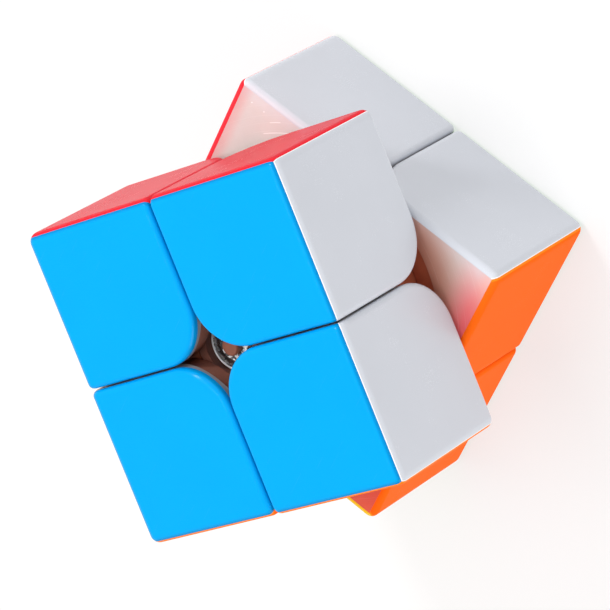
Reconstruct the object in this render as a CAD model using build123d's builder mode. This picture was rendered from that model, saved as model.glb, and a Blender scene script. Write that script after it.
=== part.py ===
from build123d import *
import os

# Twisty puzzle cube, 2 x 2 x 2, with its top layer part-way through a turn. Millimetres.
# Origin at the centre of the core. +Z is the axis of the layer that is turned. The bottom layer stands
# square to X and Y: right is +X, left is -X, back is +Y, front is -Y.

# Driving dimensions
CUBE = 50.0  # over the outer faces
TOP_TURN = -37.8  # degrees about +Z, from the solved position
SEAM_GAP = 0.30  # between neighbouring corner pieces
EDGE_R = 1.5  # rounding of the cube's outer edges
SEAM_R = 0.9  # rounding of each tile beside a seam
HOLE_R = 8.0  # rounding of each tile at the middle of its side
TILE_T = 1.0  # thickness of a coloured tile
SKIRT_DEPTH = 1.3  # depth of a tile's wall round the middle hole
SKIRT_T = 1.0
WALL = 1.2  # walls of the pale housing
FRAME_T = 1.0  # frame of the pale housing, under each tile
WINDOW = 12.0  # square opening in that frame
WINDOW_AT = 15.0  # its middle, from the centre planes
WINDOW_R = 1.5
LIP_T = 1.0  # lip on the back of a tile, which locates it in the window
LIP_GAP = 0.05
LIP_DEPTH = 1.6
SOCKET_R = 23.4  # sphere where the housing ends and the dark foot begins
MECH_R = 20.4  # outer sphere of the centre caps and hidden edges
SHELF_R = 15.5  # sphere where caps and hidden edges bear on the feet
CORE_R = 11.8  # ball of the core
SLICE = 6.4  # half width of the middle slice, outside SHELF_R
FOOT_SLICE = 3.9  # half width of the middle slice, inside SHELF_R
PLAY = 0.15  # running gap between moving parts
BOSS_R = 3.0  # boss that holds the foot in the housing
BOSS_GAP = 0.05
BOSS_ROOT = 22.0
BOSS_END = 26.5
POST_R = 1.44
POST_TOP = 20.0
SHOULDER_R = 3.2
SHOULDER_TOP = 12.0
BORE_R = 1.50  # running fit on a post
SPRING_ROOM_R = 2.75
SPRING_FLOOR = 13.3
SPRING_R = 2.2  # to the middle of the wire
SPRING_WIRE_R = 0.22
SPRING_TURNS = 4
NUT_ROOM_R = 4.36
NUT_R = 4.20
NUT_BOTTOM = 16.7
NUT_TOP = 18.8
NUT_WEB = 0.8
NUT_RIM = 0.45
COLLAR_R = 2.5
COLLAR_TEETH = 14
TOOTH_R = 0.25
MAGNET_R = 2.0
MAGNET_T = 2.0
MAGNET_AT = 19.0  # from both seams, in the plane of the wall that it is glued to
CUP_T = 0.6  # ring wall round a magnet
CUP_GAP = 0.05
CUP_DEPTH = 1.5
FOOT_INSET = 0.3  # the dark foot stands back from the seam by this
CAP_CORNER_R = 0.8  # rounding of a centre cap's four corners
STEM_GAP = 0.05  # end play of a centre cap on its shoulder
SPRING_GAP = 0.03  # at each end of a spring
NUT_EDGE_R = 0.2  # rounding of the rim, inside and outside
POST_EDGE = 0.2
OVERLAP = 0.1  # by which the volumes of one piece run into each other
MATCH = 1e-3  # for picking edges by their place

# Worked out from them
HALF = CUBE / 2
SEAM = SEAM_GAP / 2
BODY = HALF - TILE_T  # outer limit of the housing
WALL_IN = SEAM + WALL
HOLLOW = BODY - FRAME_T - WALL_IN
LIP = WINDOW - 2 * LIP_GAP
ROUND_AT = SEAM + HOLE_R  # centre of the rounding at the middle of a side
SEAT_R = SOCKET_R + WALL  # back of the housing's spherical wall
FOOT_SIDE = SEAM + FOOT_INSET
DOME_IN = MECH_R + PLAY
SLICE_LOW, SLICE_HIGH = SLICE - PLAY / 2, SLICE + PLAY / 2
FOOT_LOW, FOOT_HIGH = FOOT_SLICE - PLAY / 2, FOOT_SLICE + PLAY / 2
FOOT_TOP = SHELF_R - PLAY
FOOT_BASE = SHOULDER_TOP + PLAY
CAP_SIDE = 2 * (SLICE - PLAY)
STEM_R = FOOT_SLICE - PLAY
CAP_BASE = SHOULDER_TOP + STEM_GAP
SPRING_END = SPRING_WIRE_R + SPRING_GAP
SPRING_HEIGHT = NUT_BOTTOM - SPRING_FLOOR - 2 * SPRING_END

DIAGONAL = Vector(1, 1, 1)
THIRDS = (0, 120, 240)  # turns about the diagonal that take the top side to the right and back sides
CAPS = {"top": "blue", "bottom": "green"}
FACINGS = ((1, 0, 0), (-1, 0, 0), (0, 1, 0), (0, -1, 0), (0, 0, 1), (0, 0, -1))
FACING_NAMES = ("right", "left", "back", "front", "top", "bottom")
SIDES = ("white", "red", "yellow", "orange")  # +X, +Y, -X, -Y
TOP_CORNERS = ("back_right", "back_left", "front_left", "front_right")
BOTTOM_CORNERS = ("front_right", "back_right", "back_left", "front_left")


def write(piece, name):
    """Label a finished piece and write its STEP."""
    piece.part.label = name
    export_step(piece.part, f"parts/{name}.step")


def turned(shape, degrees, axis=Vector(0, 0, 1)):
    """A copy turned about an axis through the origin."""
    return shape.rotate(Axis((0, 0, 0), axis), degrees)


def edges_at(piece, value, axes=1):
    """The edges along which at least this many of X, Y and Z stay at the value."""
    found = []
    for edge in piece.edges():
        box = edge.bounding_box()
        held = [max(abs(low - value), abs(high - value)) < MATCH for low, high in zip(box.min, box.max)]
        if sum(held) >= axes:
            found.append(edge)
    return found


def octant(low, outer, inner):
    """The part of the +X +Y +Z octant beyond low on each axis, between two spheres."""
    with BuildPart() as block:
        with Locations((low, low, low)):
            Box(outer, outer, outer, align=(Align.MIN, Align.MIN, Align.MIN))
        Sphere(outer, mode=Mode.INTERSECT)
        Sphere(inner, mode=Mode.SUBTRACT)
    return block.part


def slab(low, half_z, outer, inner):
    """The part beyond low in X and Y and within half_z of Z = 0, between two spheres."""
    with BuildPart() as block:
        with Locations((low, low, 0)):
            Box(outer, outer, 2 * half_z, align=(Align.MIN, Align.MIN, Align.CENTER))
        Sphere(outer, mode=Mode.INTERSECT)
        Sphere(inner, mode=Mode.SUBTRACT)
    return block.part


os.makedirs("parts", exist_ok=True)

# Corner blank: the outside of one corner piece, in the +X +Y +Z octant
with BuildPart() as blank:
    with Locations((SEAM, SEAM, SEAM)):
        Box(HALF - SEAM, HALF - SEAM, HALF - SEAM, align=(Align.MIN, Align.MIN, Align.MIN))
    fillet(edges_at(blank, SEAM, axes=2), radius=HOLE_R)
    fillet(edges_at(blank, HALF, axes=2), radius=EDGE_R)
    fillet(edges_at(blank, HALF), radius=SEAM_R)
    Sphere(SOCKET_R, mode=Mode.SUBTRACT)

# Skirt: the deeper wall of a tile round the middle hole, as a zone on the top side
with BuildPart() as skirt:
    with BuildSketch(Plane.XY.offset(HALF - SKIRT_DEPTH)):
        with Locations((ROUND_AT, ROUND_AT)):
            Circle(HOLE_R + SKIRT_T)
            Circle(HOLE_R - SKIRT_T, mode=Mode.SUBTRACT)
            Rectangle(2 * HOLE_R, 2 * HOLE_R, align=(Align.MAX, Align.MAX), mode=Mode.INTERSECT)
    extrude(amount=SKIRT_DEPTH)

# The zone of a corner that lies inside its three tiles
with BuildPart() as inside:
    Box(BODY, BODY, BODY, align=(Align.MIN, Align.MIN, Align.MIN))
    for third in THIRDS:
        add(turned(skirt.part, third, DIAGONAL), mode=Mode.SUBTRACT)

# Tile of the top side: a thin shell, mitred at the cube's edges, with a lip behind it
with BuildPart() as top_tile:
    add(blank.part)
    split(bisect_by=Plane(origin=(0, 0, 0), z_dir=(-1, 0, 1)), keep=Keep.TOP)
    split(bisect_by=Plane(origin=(0, 0, 0), z_dir=(0, -1, 1)), keep=Keep.TOP)
    add(inside.part, mode=Mode.SUBTRACT)
    with BuildSketch(Plane.XY.offset(BODY)):
        with Locations((WINDOW_AT, WINDOW_AT)):
            RectangleRounded(LIP, LIP, WINDOW_R - LIP_GAP)
            RectangleRounded(LIP - 2 * LIP_T, LIP - 2 * LIP_T, WINDOW_R - LIP_T, mode=Mode.SUBTRACT)
    extrude(amount=-LIP_DEPTH)

# Space inside the housing, kept clear of the spherical wall that seats the foot
with BuildPart() as hollow:
    with Locations((WALL_IN, WALL_IN, WALL_IN)):
        Box(HOLLOW, HOLLOW, HOLLOW, align=(Align.MIN, Align.MIN, Align.MIN))
    Sphere(SEAT_R, mode=Mode.SUBTRACT)

# Window in the frame under a tile, as a zone on the top side
with BuildPart() as window:
    with BuildSketch(Plane.XY.offset(BODY - 1.5 * FRAME_T)):
        with Locations((WINDOW_AT, WINDOW_AT)):
            RectangleRounded(WINDOW, WINDOW, WINDOW_R)
    extrude(amount=2 * FRAME_T)

# Magnet and the ring that holds it, on the inside of the seam wall at Z = 0
with BuildPart() as magnet:
    with BuildSketch(Plane.XY.offset(WALL_IN)):
        with Locations((MAGNET_AT, MAGNET_AT)):
            Circle(MAGNET_R)
    extrude(amount=MAGNET_T)
with BuildPart() as magnet_cup:
    with BuildSketch(Plane.XY.offset(WALL_IN - OVERLAP)):
        with Locations((MAGNET_AT, MAGNET_AT)):
            Circle(MAGNET_R + CUP_GAP + CUP_T)
            Circle(MAGNET_R + CUP_GAP, mode=Mode.SUBTRACT)
    extrude(amount=OVERLAP + CUP_DEPTH)

# Pale housing: seam walls, a frame under each tile, magnet cups and the seat of the foot
with BuildPart() as housing:
    add(blank.part)
    add(inside.part, mode=Mode.INTERSECT)
    add(hollow.part, mode=Mode.SUBTRACT)
    for third in THIRDS:
        add(turned(window.part, third, DIAGONAL), mode=Mode.SUBTRACT)
        add(turned(magnet_cup.part, third, DIAGONAL))
    with BuildSketch(Plane(origin=DIAGONAL.normalized() * BOSS_ROOT, z_dir=DIAGONAL)):
        Circle(BOSS_R + BOSS_GAP)
    extrude(amount=BOSS_END - BOSS_ROOT, mode=Mode.SUBTRACT)

# Dome of the foot: it fills the housing's socket and runs over the hidden mechanism
with BuildPart() as dome:
    with Locations((FOOT_SIDE, FOOT_SIDE, FOOT_SIDE)):
        Box(HALF, HALF, HALF, align=(Align.MIN, Align.MIN, Align.MIN))
    fillet(edges_at(dome, FOOT_SIDE, axes=2), radius=ROUND_AT - FOOT_SIDE)
    Sphere(SOCKET_R, mode=Mode.INTERSECT)
    Sphere(DOME_IN, mode=Mode.SUBTRACT)

# Dark foot: dome, boss into the housing, neck between the centre caps, and the toe they trap
with BuildPart() as foot:
    add(dome.part)
    add(octant(SLICE_HIGH, DOME_IN + OVERLAP, FOOT_TOP - OVERLAP))
    add(octant(FOOT_HIGH, FOOT_TOP, FOOT_BASE))
    with BuildSketch(Plane(origin=DIAGONAL.normalized() * BOSS_ROOT, z_dir=DIAGONAL)):
        Circle(BOSS_R)
    extrude(amount=BOSS_END - BOSS_ROOT)

# The eight corner pieces: three tiles, a housing, a foot and three magnets in each
for layer, flip, turn, corners, step in (
    ("top", 0, TOP_TURN, TOP_CORNERS, 1),
    ("bottom", 180, 0, BOTTOM_CORNERS, -1),
):
    flipped = Location((0, 0, 0), (flip, 0, 0))
    places = [Location((0, 0, 0), (0, 0, turn + 90 * k)) * flipped for k in range(4)]
    for quarter, (corner, place) in enumerate(zip(corners, places)):
        colours = (CAPS[layer], SIDES[quarter], SIDES[(quarter + step) % 4])
        for third, colour in zip(THIRDS, colours):
            with BuildPart() as tile:
                add(turned(top_tile.part, third, DIAGONAL).moved(place))
            write(tile, f"{layer}_{corner}_{colour}_tile")
        with BuildPart() as corner_housing:
            add(housing.part.moved(place))
        write(corner_housing, f"{layer}_{corner}_housing")
        with BuildPart() as corner_foot:
            add(foot.part.moved(place))
        write(corner_foot, f"{layer}_{corner}_foot")
    with BuildPart() as magnets:
        for place in places:
            for third in THIRDS:
                add(turned(magnet.part, third, DIAGONAL).moved(place))
    write(magnets, f"{layer}_magnets")

# Hidden edge piece between +X and +Y: a cap, a stem, and a toe that the centre caps trap
with BuildPart() as edge_piece:
    add(slab(SLICE_HIGH, SLICE_LOW, MECH_R, SHELF_R))
    add(slab(SLICE_HIGH, FOOT_LOW, SHELF_R + OVERLAP, FOOT_TOP - OVERLAP))
    add(slab(FOOT_HIGH, FOOT_LOW, FOOT_TOP, FOOT_BASE))

with BuildPart() as middle_edges:
    for quarter in range(4):
        add(turned(edge_piece.part, 90 * quarter))
write(middle_edges, "middle_hidden_edges")
upper_edge = edge_piece.part.rotate(Axis.X, 90)
for name, turn, flip in (("top_hidden_edges", TOP_TURN, 0), ("bottom_hidden_edges", 0, 180)):
    with BuildPart() as layer_edges:
        for quarter in range(4):
            add(turned(upper_edge.rotate(Axis.X, flip), turn + 90 * quarter))
    write(layer_edges, name)

# Centre cap of the top side: a square of the outer sphere on a round stem, bored for post, spring and nut
with BuildPart() as cap:
    with BuildSketch(Plane.XY.offset(CAP_BASE)):
        RectangleRounded(CAP_SIDE, CAP_SIDE, CAP_CORNER_R)
    extrude(amount=MECH_R - CAP_BASE)
    Sphere(MECH_R, mode=Mode.INTERSECT)
    Sphere(SHELF_R, mode=Mode.SUBTRACT)
    with BuildSketch(Plane.XY.offset(CAP_BASE)):
        Circle(STEM_R)
    extrude(amount=NUT_BOTTOM - CAP_BASE)
    for radius, floor in (
        (BORE_R, CAP_BASE),
        (SPRING_ROOM_R, SPRING_FLOOR),
        (NUT_ROOM_R, NUT_BOTTOM - OVERLAP),
    ):
        with BuildSketch(Plane.XY.offset(floor)):
            Circle(radius)
        extrude(amount=MECH_R - floor, mode=Mode.SUBTRACT)

# Clear tension nut of the top side: web, rounded outer rim, and a toothed collar on the post
with BuildPart() as nut:
    with BuildSketch(Plane.XY.offset(NUT_BOTTOM)):
        Circle(NUT_R)
    extrude(amount=NUT_TOP - NUT_BOTTOM)
    with BuildSketch(Plane.XY.offset(NUT_BOTTOM + NUT_WEB)):
        Circle(NUT_R - NUT_RIM)
    extrude(amount=NUT_TOP - NUT_BOTTOM, mode=Mode.SUBTRACT)
    fillet(nut.edges().group_by(Axis.Z)[-1], radius=NUT_EDGE_R)
    with BuildSketch(Plane.XY.offset(NUT_BOTTOM)):
        Circle(COLLAR_R)
        with PolarLocations(COLLAR_R, COLLAR_TEETH):
            Circle(TOOTH_R, mode=Mode.SUBTRACT)
    extrude(amount=NUT_TOP - NUT_BOTTOM)
    with BuildSketch(Plane.XY.offset(NUT_BOTTOM)):
        Circle(BORE_R)
    extrude(amount=NUT_TOP - NUT_BOTTOM, mode=Mode.SUBTRACT)

# Compression spring of the top side, between the floor of the cap and the nut
with BuildPart() as spring:
    with BuildLine():
        coil = Helix(
            pitch=SPRING_HEIGHT / SPRING_TURNS,
            height=SPRING_HEIGHT,
            radius=SPRING_R,
            center=(0, 0, SPRING_FLOOR + SPRING_END),
        )
    with BuildSketch(Plane(origin=coil @ 0, z_dir=coil % 0)):
        Circle(SPRING_WIRE_R)
    sweep()

# Core: a ball with a shoulder and a post on each of its six sides
with BuildPart() as core:
    Sphere(CORE_R)
    for side in FACINGS:
        facing = Plane(origin=(0, 0, 0), z_dir=side)
        with BuildSketch(facing):
            Circle(SHOULDER_R)
        extrude(amount=SHOULDER_TOP)
        with BuildSketch(facing):
            Circle(POST_R)
        extrude(amount=POST_TOP)
    rings = core.edges().filter_by(GeomType.CIRCLE)
    tips = [ring for ring in rings if abs(ring.arc_center.length - POST_TOP) < MATCH]
    chamfer(tips, length=POST_EDGE)
write(core, "core")

# A cap, a nut and a spring on each of the six sides; the top ones stand as the top layer does
for name, side in zip(FACING_NAMES, FACINGS):
    turn = TOP_TURN if name == "top" else 0
    facing = Location((0, 0, 0), (0, 0, turn)) * Plane(origin=(0, 0, 0), z_dir=side).location
    with BuildPart() as side_cap:
        add(cap.part.moved(facing))
    write(side_cap, f"{name}_centre_cap")
    with BuildPart() as side_nut:
        add(nut.part.moved(facing))
    write(side_nut, f"{name}_tension_nut")
with BuildPart() as springs:
    for side in FACINGS:
        add(spring.part.moved(Plane(origin=(0, 0, 0), z_dir=side).location))
write(springs, "tension_springs")
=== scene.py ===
import math

import bpy
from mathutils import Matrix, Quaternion, Vector


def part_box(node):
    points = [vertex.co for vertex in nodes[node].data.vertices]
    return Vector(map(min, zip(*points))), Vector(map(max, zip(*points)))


# A twisty puzzle cube. Every visible piece is a CAD node, which stays where it is and gets its material here.
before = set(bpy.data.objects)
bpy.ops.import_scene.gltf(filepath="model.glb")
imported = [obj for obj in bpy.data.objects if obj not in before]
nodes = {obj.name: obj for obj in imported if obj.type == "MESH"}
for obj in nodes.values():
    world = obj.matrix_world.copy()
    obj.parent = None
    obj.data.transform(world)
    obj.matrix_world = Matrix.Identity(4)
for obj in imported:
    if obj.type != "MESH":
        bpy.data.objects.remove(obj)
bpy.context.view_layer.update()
MM = 0.001

# ---- sizes, in metres ------------------------------------------------------------------------
FLOOR_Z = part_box("bottom_front_right_green_tile")[0].z
FLOOR_HALF = 3.0
FLOOR_DROP = 0.02 * MM             # keeps the floor off the cube's underside
HALF = abs(FLOOR_Z)                # half of the cube's side
TOP_TURN = math.radians(-37.8)     # the top layer, as it stands against the bottom one
SEAM = 0.15 * MM                   # half of the gap between the layers
HOUSING_OUT = HALF - 1.0 * MM      # where the coloured shell starts

# ---- bands: where a change starts and ends, and its share at either end, or else from 0 to 1 -----
# X and Y are the layer's own.
# painted light in the housings: the shells' colours bled into their sides, and painted shade in the holes
# under the shells
RIM_SHADING_BAND = (HOUSING_OUT - 2.4 * MM, HOUSING_OUT - 0.2 * MM)     # outwards, in a housing
SEAM_FACE = (SEAM + 0.05 * MM, SEAM + 0.15 * MM, 1.0, 0.0)       # away from the seam
# painted shade on the seam faces: brown towards the axis and full at the front, rose along the front rim,
# coral at the front-left corner
SHADE_REACH = (23.0 * MM, 33.0 * MM, 1.0, 0.0)                   # from the turning axis
SHADE_FRONT = (-12.0 * MM, 0.0, 0.85, 0.05)                      # along Y
ROSE_REACH = (27.5 * MM, 35.0 * MM, 0.95, 0.0)                   # from the turning axis
ROSE_FRONT = (-24.2 * MM, -17.5 * MM, 1.0, 0.0)                  # along Y
CORAL_LEFT = (-18.0 * MM, -12.0 * MM, 0.9, 0.0)                  # along X
CORAL_FRONT = (-20.0 * MM, -15.0 * MM, 1.0, 0.0)                 # along Y
# painted reddish bounce light on the works near the seam
BOUNCE_LEVEL = (7.0 * MM, 13.0 * MM, 0.85, 0.0)                    # away from the seam
# where the nut gets painted sparkle on its collar and a painted highlight on its crest
NUT_COLLAR = (18.2 * MM, 18.6 * MM)                              # from the cube's centre
NUT_CREST = (19.06 * MM, 19.16 * MM)                             # from the cube's centre
CLOUDY = (0.3, 0.7)                                              # on a noise

# rub marks on the seam faces: radius, half width, bearing and half spread of each. A mark is full out to a
# share of its half width and of its half spread, and fades from there.
RUBS = (
    (27.9 * MM, 0.11 * MM, math.radians(37.5), math.radians(2.2)),
    (26.3 * MM, 0.11 * MM, math.radians(38.0), math.radians(5.5)),
    (31.2 * MM, 0.14 * MM, math.radians(44.1), math.radians(0.3)),
    (29.6 * MM, 0.14 * MM, math.radians(40.8), math.radians(0.3)),
)
FULL_ACROSS, FULL_ALONG = 0.3, 0.8

# ---- colours, linear -------------------------------------------------------------------------
BLUE = (0.000, 0.350, 0.780)
GREEN = (0.012, 0.440, 0.060)
WHITE = (0.640, 0.662, 0.718)
YELLOW = (0.930, 0.640, 0.012)
RED = (0.720, 0.034, 0.050)
ORANGE = (1.000, 0.142, 0.008)
# painted edge shading along the cube's edges: deeper on blue, green and red, and paler on white, yellow and
# orange as a painted highlight
BLUE_EDGE_SHADING = (0.000, 0.210, 0.500)
GREEN_EDGE_SHADING = (0.006, 0.220, 0.030)
WHITE_EDGE_HIGHLIGHT = (1.000, 1.000, 1.000)
YELLOW_EDGE_HIGHLIGHT = (1.000, 0.760, 0.080)
RED_EDGE_SHADING = (0.800, 0.020, 0.034)
ORANGE_EDGE_HIGHLIGHT = (1.000, 0.260, 0.018)
MILK = (0.680, 0.640, 0.615)
SLATE_SHADE = (0.050, 0.070, 0.120)
SHADE_BROWN = (0.580, 0.200, 0.115)
SHADE_ROSE = (0.880, 0.120, 0.140)
SHADE_CORAL = (0.720, 0.085, 0.045)
SCUFF_WHITE = (0.970, 0.950, 0.940)
FOOT_BROWN = (0.340, 0.132, 0.088)
CAP_BROWN = (0.225, 0.090, 0.066)
EDGE_BROWN = (0.330, 0.090, 0.048)
CORE_BROWN = (0.240, 0.086, 0.054)
BOUNCE_BROWN = (0.620, 0.165, 0.080)
DUST = (0.360, 0.200, 0.160)
NUT_GREY = (0.860, 0.880, 0.900)
NUT_CLEAR = (0.980, 0.980, 0.980)
STEEL = (0.660, 0.660, 0.640)
NICKEL = (0.700, 0.680, 0.640)
FLOOR_GREY = (0.270, 0.270, 0.270)
PURE_WHITE = (1.000, 1.000, 1.000)
FLOOR_GLOW = 0.68


def toned(colour, gain, lift=0.0):
    """The colour made paler or deeper."""
    return tuple(min(1.0, channel * gain + lift) for channel in colour)


# ---- node helpers ----------------------------------------------------------------------------
class Tree:
    """A material being built: add() makes a node, and links a socket wherever one is given for a value."""

    def __init__(self, name):
        self.material = bpy.data.materials.new(name)
        self.material.use_nodes = True
        self.nodes = self.material.node_tree.nodes
        self.links = self.material.node_tree.links
        self.nodes.clear()
        self.place = self.add("TexCoord").outputs["Object"]

    def add(self, kind, inputs=None, **settings):
        made = self.nodes.new("ShaderNode" + kind)
        for name, value in settings.items():
            setattr(made, name, value)
        for key, value in (inputs or {}).items():
            self.put(made.inputs[key], value)
        return made

    def put(self, socket, value):
        if isinstance(value, bpy.types.NodeSocket):
            self.links.new(value, socket)
        elif socket.type == "RGBA":
            socket.default_value = (*value, 1.0)
        else:
            socket.default_value = value

    def math(self, operation, *values):
        return self.add("Math", dict(enumerate(values)), operation=operation).outputs[0]

    def product(self, first, *others):
        for other in others:
            first = self.math("MULTIPLY", first, other)
        return first

    def axes(self, vector):
        return self.add("SeparateXYZ", {"Vector": vector}).outputs

    def length(self, vector):
        return self.add("VectorMath", {0: vector}, operation="LENGTH").outputs["Value"]

    def noise(self, scale, detail=2.0, roughness=0.5, at=None):
        """Noise of about this many cells to a metre, or to a unit of stretched coordinates."""
        made = self.add("TexNoise", {"Vector": at or self.place, "Scale": scale, "Detail": detail,
                                     "Roughness": roughness})
        return made.outputs["Fac"]

    def ramp(self, value, low, high, to_low=0.0, to_high=1.0):
        """A smooth change from one number to another while the value goes from low to high."""
        made = self.add("MapRange", {"Value": value, "From Min": low, "From Max": high,
                                     "To Min": to_low, "To Max": to_high}, interpolation_type="SMOOTHSTEP")
        return made.outputs["Result"]

    def mix(self, share, first, second):
        return self.add("Mix", {0: share, 6: first, 7: second}, data_type="RGBA").outputs[2]

    def mapped(self, turn=(0.0, 0.0, 0.0), stretch=(1.0, 1.0, 1.0)):
        made = self.add("Mapping", {"Vector": self.place, "Rotation": turn, "Scale": stretch})
        return made.outputs["Vector"]

    def layers(self, distance, spacing, detail):
        """Noise that varies only with a distance, so that it lies in rings or shells."""
        along = self.add("CombineXYZ", {"X": self.math("MULTIPLY", distance, 1 / spacing)})
        return self.noise(scale=1.0, detail=detail, at=along.outputs[0])

    def bump(self, height, depth, under=None):
        made = self.add("Bump", {"Height": height, "Distance": depth})
        if under is not None:
            self.put(made.inputs["Normal"], under)
        return made.outputs["Normal"]

    def finish(self, **sockets):
        """Ends the material with its shader, whose sockets are given by their names, with _ for a space."""
        inputs = {name.replace("_", " "): value for name, value in sockets.items()}
        shader = self.add("BsdfPrincipled", inputs)
        out = self.add("OutputMaterial")
        self.links.new(shader.outputs[0], out.inputs["Surface"])
        return self.material


def hairlines(t, tilt, length, width, rarity):
    """1 on sparse fine scratches that lie along one direction, 0 elsewhere."""
    fade = 0.03
    along = t.mapped(turn=tilt, stretch=(1 / length, 1 / width, 1 / width))
    return t.ramp(t.noise(scale=1.0, detail=1.0, at=along), rarity, rarity + fade)


def from_mitre(t):
    """How far a point of the outer surface is from the cube's nearest edge, where two shells meet."""
    upper = t.math("GREATER_THAN", t.axes(t.place)["Z"], 0.0)
    square = t.add("VectorRotate", {"Vector": t.place, "Angle": t.math("MULTIPLY", upper, -TOP_TURN)},
                   rotation_type="Z_AXIS")
    sizes = t.add("VectorMath", {0: square.outputs[0]}, operation="ABSOLUTE")
    x, y, z = t.axes(sizes.outputs[0])
    largest = t.math("MAXIMUM", x, t.math("MAXIMUM", y, z))
    smallest = t.math("MINIMUM", x, t.math("MINIMUM", y, z))
    middle = t.math("SUBTRACT", t.math("ADD", x, t.math("ADD", y, z)), t.math("ADD", largest, smallest))
    return t.math("SUBTRACT", largest, middle)


# ---- materials -------------------------------------------------------------------------------
def shell_plastic(name, colour, edge, full, end, gloss=0.26, specular=0.30):
    """Coloured moulded shell: fine moulding texture, faint clouding, hairline scratches, rubbed patches and
    painted edge shading, another tone along the cube's edges, which is full up to one distance from them and
    ends at another."""
    t = Tree(name)
    cloud = t.noise(scale=70.0, detail=3.0)
    body = t.mix(t.ramp(cloud, *CLOUDY), toned(colour, gain=0.985), toned(colour, gain=1.01))
    lines = t.math("MAXIMUM",
                   hairlines(t, tilt=(0.3, 0.5, 0.9), length=9 * MM, width=0.09 * MM, rarity=0.76),
                   hairlines(t, tilt=(1.2, -0.4, -0.6), length=7 * MM, width=0.08 * MM, rarity=0.77))
    tone = t.mix(t.math("MULTIPLY", lines, 0.35), body, toned(colour, gain=0.9, lift=0.05))
    # painted edge shading: the edge colour takes over along the cube's edges
    tone = t.mix(t.ramp(from_mitre(t), full, end, 1.0, 0.0), tone, edge)
    grain = t.noise(scale=5200.0, detail=2.0)
    patches = t.noise(scale=150.0, detail=4.0, roughness=0.6)
    rubbed = t.ramp(patches, 0.35, 0.7, to_low=gloss - 0.01, to_high=gloss + 0.01)
    rough = t.math("ADD", rubbed, t.math("MULTIPLY", t.math("SUBTRACT", grain, 0.5), 0.06))
    wave = t.bump(t.noise(scale=420.0, detail=1.0), depth=0.004 * MM)
    relief = t.math("SUBTRACT", grain, t.math("MULTIPLY", lines, 0.8))
    return t.finish(Base_Color=tone, Roughness=rough, Normal=t.bump(relief, depth=0.006 * MM, under=wave),
                    Specular_IOR_Level=specular, IOR=1.47)


def milky_plastic(name, angle, rims):
    """Natural nylon-like housing, its layer turned by an angle. It is cloudy, and tinted at its rims by a
    colour and a share each for +X, -X, +Y, -Y and away from the seam: a painted bleed of the shells' colours
    at the sides, and painted shade away from the seam.
    Its seam faces have painted shade, browned by the dark works and warmed by a painted bounce from the
    coloured walls, and the rings that the layers rub into each other."""
    t = Tree(name)
    x, y, z = t.axes(t.mapped(turn=(0.0, 0.0, -angle)))
    level = t.math("ABSOLUTE", z)
    ways = (x, t.math("MULTIPLY", x, -1.0), y, t.math("MULTIPLY", y, -1.0), level)
    flat = t.add("VectorMath", {0: t.place, 1: (1.0, 1.0, 0.0)}, operation="MULTIPLY")
    radius = t.length(flat.outputs[0])
    on_seam = t.ramp(level, *SEAM_FACE)
    cloud = t.noise(scale=120.0, detail=4.0, roughness=0.6)
    body = t.mix(t.ramp(cloud, *CLOUDY), toned(MILK, gain=0.93), MILK)
    # painted colour bleed from the shells at the sides, and painted shade (slate) away from the seam
    for way, (colour, share) in zip(ways, rims):
        body = t.mix(t.math("MULTIPLY", t.ramp(way, *RIM_SHADING_BAND), share), body, colour)
    # painted shade: brown towards the axis, deepest at the front
    brown = t.product(t.ramp(radius, *SHADE_REACH), t.ramp(y, *SHADE_FRONT), on_seam)
    body = t.mix(brown, body, SHADE_BROWN)
    # painted shade warmed by a painted orange bounce, along the front rim
    rose = t.product(t.ramp(radius, *ROSE_REACH), t.ramp(y, *ROSE_FRONT), on_seam)
    body = t.mix(rose, body, SHADE_ROSE)
    # painted shade with a painted orange bounce, at the front-left corner
    coral = t.product(t.ramp(x, *CORAL_LEFT), t.ramp(y, *CORAL_FRONT), on_seam)
    body = t.mix(coral, body, SHADE_CORAL)
    rings = t.ramp(t.layers(radius, spacing=0.16 * MM, detail=3.0), 0.56, 0.70, to_high=0.5)
    patch = t.ramp(t.noise(scale=90.0), 0.4, 0.62)
    scuffs = t.product(rings, patch, on_seam)
    bearing = t.math("ARCTAN2", y, x)
    for reach, width, middle, spread in RUBS:
        off = t.math("ABSOLUTE", t.math("SUBTRACT", radius, reach))
        aside = t.math("ABSOLUTE", t.math("SUBTRACT", bearing, middle))
        line = t.product(t.ramp(off, FULL_ACROSS * width, width, 1.0, 0.0),
                         t.ramp(aside, FULL_ALONG * spread, spread, 1.0, 0.0), on_seam)
        scuffs = t.math("MAXIMUM", scuffs, line)
    body = t.mix(t.math("MULTIPLY", scuffs, 0.6), body, SCUFF_WHITE)
    rough = t.math("ADD", t.ramp(cloud, *CLOUDY, to_low=0.30, to_high=0.42),
                   t.math("MULTIPLY", scuffs, 0.15))
    relief = t.math("ADD", t.noise(scale=3600.0), t.math("MULTIPLY", scuffs, 0.7))
    return t.finish(Base_Color=body, Roughness=rough, Normal=t.bump(relief, depth=0.006 * MM),
                    Subsurface_Weight=0.12, Subsurface_Radius=(1.0, 0.6, 0.5),
                    Subsurface_Scale=1.2 * MM, Specular_IOR_Level=0.4)


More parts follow.
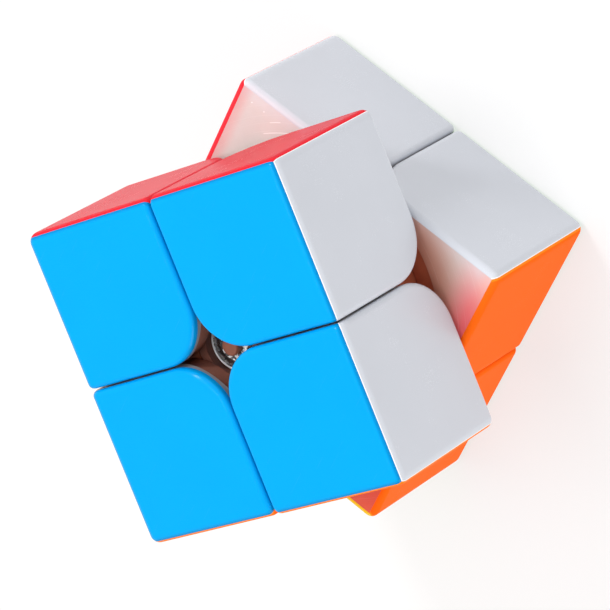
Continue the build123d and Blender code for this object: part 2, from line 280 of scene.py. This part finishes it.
def works_plastic(name, colour, specular=0.35):
    """Dark engineering plastic of the works: rubbed in shells round the centre, where the parts slide, with
    flecks of dust, and a painted reddish bounce light towards the seam."""
    t = Tree(name)
    track = t.layers(t.length(t.place), spacing=0.25 * MM, detail=2.0)
    cloud = t.noise(scale=160.0, detail=4.0, roughness=0.6)
    body = t.mix(t.ramp(cloud, *CLOUDY), toned(colour, gain=0.82), toned(colour, gain=1.12))
    polish = t.math("MULTIPLY", t.ramp(track, 0.5, 0.75), 0.25)
    body = t.mix(polish, body, toned(colour, gain=1.3, lift=0.01))
    # painted reddish bounce light, fullest near the seam
    level = t.math("ABSOLUTE", t.axes(t.place)["Z"])
    body = t.mix(t.ramp(level, *BOUNCE_LEVEL), body, BOUNCE_BROWN)
    dust = t.math("MULTIPLY", t.ramp(t.noise(scale=2600.0), 0.66, 0.74), 0.25)
    body = t.mix(dust, body, DUST)
    rough = t.math("ADD", t.ramp(track, *CLOUDY, to_low=0.28, to_high=0.42), dust)
    relief = t.math("ADD", t.noise(scale=2800.0), track)
    return t.finish(Base_Color=body, Roughness=rough, Normal=t.bump(relief, depth=0.006 * MM),
                    Specular_IOR_Level=specular)


def clear_plastic(name):
    """Clear moulded nut: rippled inside, frosted white on the crest of its rim as a painted highlight and in
    flecks on its collar as painted sparkle.
    """
    t = Tree(name)
    reach = t.length(t.place)
    flecks = t.product(t.ramp(t.noise(scale=1500.0), 0.50, 0.56), t.ramp(reach, *NUT_COLLAR))
    # painted highlight on the crest and painted sparkle on the collar, made by frosting them white
    painted_glint = t.math("MAXIMUM", t.ramp(reach, *NUT_CREST), flecks)
    cloud = t.noise(scale=900.0, detail=3.0, roughness=0.6)
    tint = t.mix(t.ramp(cloud, 0.35, 0.65), NUT_GREY, NUT_CLEAR)
    rough = t.math("ADD", t.ramp(cloud, 0.4, 0.7, to_low=0.02, to_high=0.10), t.math("MULTIPLY", painted_glint, 0.12))
    clear = t.math("SUBTRACT", 0.94, t.math("MULTIPLY", painted_glint, 0.85))
    ripples = t.bump(t.noise(scale=1300.0, detail=3.0), depth=0.08 * MM)
    return t.finish(Base_Color=tint, Roughness=rough, Normal=ripples, Transmission_Weight=clear, IOR=1.58)


def drawn_metal(name, colour, gloss, scale):
    """Metal with fine drawing streaks and slightly clouded brightness."""
    t = Tree(name)
    across = 0.2 * scale
    streak = t.noise(scale=1.0, detail=3.0, at=t.mapped(stretch=(across, across, scale)))
    cloud = t.noise(scale=300.0, detail=3.0)
    body = t.mix(t.ramp(cloud, *CLOUDY), toned(colour, gain=0.8), colour)
    rough = t.ramp(streak, *CLOUDY, to_low=gloss - 0.06, to_high=gloss + 0.1)
    return t.finish(Base_Color=body, Roughness=rough, Normal=t.bump(streak, depth=0.004 * MM), Metallic=1.0)


def stage_paint(name, colour, glow):
    """Pale matt surface under the object, which gives a little light of its own."""
    t = Tree(name)
    cloud = t.noise(scale=14.0, detail=3.0)
    body = t.mix(t.ramp(cloud, *CLOUDY), toned(colour, gain=0.99), colour)
    return t.finish(Base_Color=body, Roughness=0.8, Normal=t.bump(t.noise(scale=900.0), depth=0.01 * MM),
                    Specular_IOR_Level=0.1, Emission_Color=PURE_WHITE, Emission_Strength=glow)


shells = {
    "blue": shell_plastic("blue_shell", BLUE, BLUE_EDGE_SHADING, full=0.0, end=1.1 * MM, gloss=0.17, specular=0.14),
    "green": shell_plastic("green_shell", GREEN, GREEN_EDGE_SHADING, full=0.0, end=0.6 * MM),
    "white": shell_plastic("white_shell", WHITE, WHITE_EDGE_HIGHLIGHT, full=0.08 * MM, end=0.26 * MM, specular=0.45),
    "yellow": shell_plastic("yellow_shell", YELLOW, YELLOW_EDGE_HIGHLIGHT, full=0.08 * MM, end=0.26 * MM),
    "red": shell_plastic("red_shell", RED, RED_EDGE_SHADING, full=0.2 * MM, end=0.9 * MM, specular=0.01),
    "orange": shell_plastic("orange_shell", ORANGE, ORANGE_EDGE_HIGHLIGHT, full=0.3 * MM, end=0.7 * MM, specular=0.005),
}
# painted bleed of the shells' colours into the housings' sides, and painted shade (slate) in the holes
rims = [(colour, 0.30) for colour in (WHITE, YELLOW, RED, ORANGE)] + [(SLATE_SHADE, 0.60)]
housings = {
    "top": milky_plastic("milky_housing_top", TOP_TURN, rims),
    "bottom": milky_plastic("milky_housing_bottom", 0.0, rims),
}
works = {
    "foot": works_plastic("brown_foot", FOOT_BROWN, specular=0.20),
    "edges": works_plastic("brown_edges", EDGE_BROWN),
    "cap": works_plastic("brown_caps", CAP_BROWN),
    "core": works_plastic("brown_core", CORE_BROWN),
    "nut": clear_plastic("clear_nuts"),
    "springs": drawn_metal("spring_steel", STEEL, gloss=0.26, scale=9000.0),
    "magnets": drawn_metal("magnets", NICKEL, gloss=0.18, scale=4000.0),
}


def finish_of(name):
    """The material of a CAD node, from its name: the layer comes first and the kind last, with a tile's
    colour before it."""
    words = name.split("_")
    if words[-1] == "tile":
        return shells[words[-2]]
    if words[-1] == "housing":
        return housings[words[0]]
    return works[words[-1]]


for name, thing in nodes.items():
    thing.data.materials.clear()
    thing.data.materials.append(finish_of(name))


# ---- floor and light -------------------------------------------------------------------------
def flat_mesh(name, half, height):
    corners = [(-half, -half, height), (half, -half, height), (half, half, height), (-half, half, height)]
    mesh = bpy.data.meshes.new(name)
    mesh.from_pydata(corners, [], [(0, 1, 2, 3)])
    thing = bpy.data.objects.new(name, mesh)
    bpy.context.scene.collection.objects.link(thing)
    return thing


floor = flat_mesh("floor", FLOOR_HALF, FLOOR_Z - FLOOR_DROP)
floor.data.materials.append(stage_paint("pale_floor", FLOOR_GREY, FLOOR_GLOW))


def softbox(name, direction, distance, width, height, watts, in_reflections=True):
    """A rectangular studio light that faces the object."""
    data = bpy.data.lights.new(name, "AREA")
    data.shape, data.size, data.size_y, data.energy = "RECTANGLE", width, height, watts
    light = bpy.data.objects.new(name, data)
    outwards = Vector(direction).normalized()
    light.location = outwards * distance
    light.rotation_mode = "QUATERNION"
    light.rotation_quaternion = (-outwards).to_track_quat("-Z", "Y")
    light.visible_glossy = in_reflections
    bpy.context.scene.collection.objects.link(light)


# the top light fills the shade, and leaves the glints to the key light
softbox("key_light", direction=(0.35, 0.58, 0.74), distance=0.80, width=0.15, height=0.15, watts=2.4)
softbox("top_light", direction=(0.02, 0.22, 0.975), distance=0.80, width=0.50, height=0.50, watts=3.8,
        in_reflections=False)
softbox("fill_light", direction=(-0.20, -0.92, 0.30), distance=1.10, width=0.80, height=0.60, watts=4.8)
softbox("side_light", direction=(0.95, 0.30, 0.35), distance=1.20, width=0.60, height=0.60, watts=1.0)

# the sky is white, and dims from the horizon up to a height on the unit sphere
HORIZON, ZENITH, ZENITH_FROM = 0.74, 0.44, 0.45
world = bpy.data.worlds.new("studio")
world.use_nodes = True
sky, sky_links = world.node_tree.nodes, world.node_tree.links
gaze = sky.new("ShaderNodeTexCoord")
axes = sky.new("ShaderNodeSeparateXYZ")
dome = sky.new("ShaderNodeMapRange")
dome.interpolation_type = "SMOOTHSTEP"
dome.inputs["From Max"].default_value = ZENITH_FROM
dome.inputs["To Min"].default_value, dome.inputs["To Max"].default_value = HORIZON, ZENITH
sky_links.new(gaze.outputs["Generated"], axes.inputs["Vector"])
sky_links.new(axes.outputs["Z"], dome.inputs["Value"])
sky_links.new(dome.outputs["Result"], sky["Background"].inputs["Strength"])
sky["Background"].inputs["Color"].default_value = (*PURE_WHITE, 1.0)
bpy.context.scene.world = world
bpy.context.scene.view_settings.view_transform = "Standard"

# ---- camera: angles, then metres, then the sensor and focal length in millimetres ---------------
AZIMUTH, ELEVATION, ROLL = math.radians(63.26), math.radians(49.354), math.radians(-120.344)
DISTANCE, CLIP_NEAR, CLIP_FAR = 0.57159, 0.01, 20.0
AIM = Vector((-0.42, -0.058, 0.30)) * MM
SENSOR, LENS = 36.0, 226.27
back = Vector((math.sin(AZIMUTH) * math.cos(ELEVATION), -math.cos(AZIMUTH) * math.cos(ELEVATION),
               math.sin(ELEVATION)))
lens = bpy.data.cameras.new("camera")
lens.sensor_width, lens.lens, lens.clip_start, lens.clip_end = SENSOR, LENS, CLIP_NEAR, CLIP_FAR
camera = bpy.data.objects.new("camera", lens)
camera.location = AIM + back * DISTANCE
camera.rotation_mode = "QUATERNION"
camera.rotation_quaternion = (-back).to_track_quat("-Z", "Y") @ Quaternion((0.0, 0.0, 1.0), ROLL)
bpy.context.scene.collection.objects.link(camera)
bpy.context.scene.camera = camera
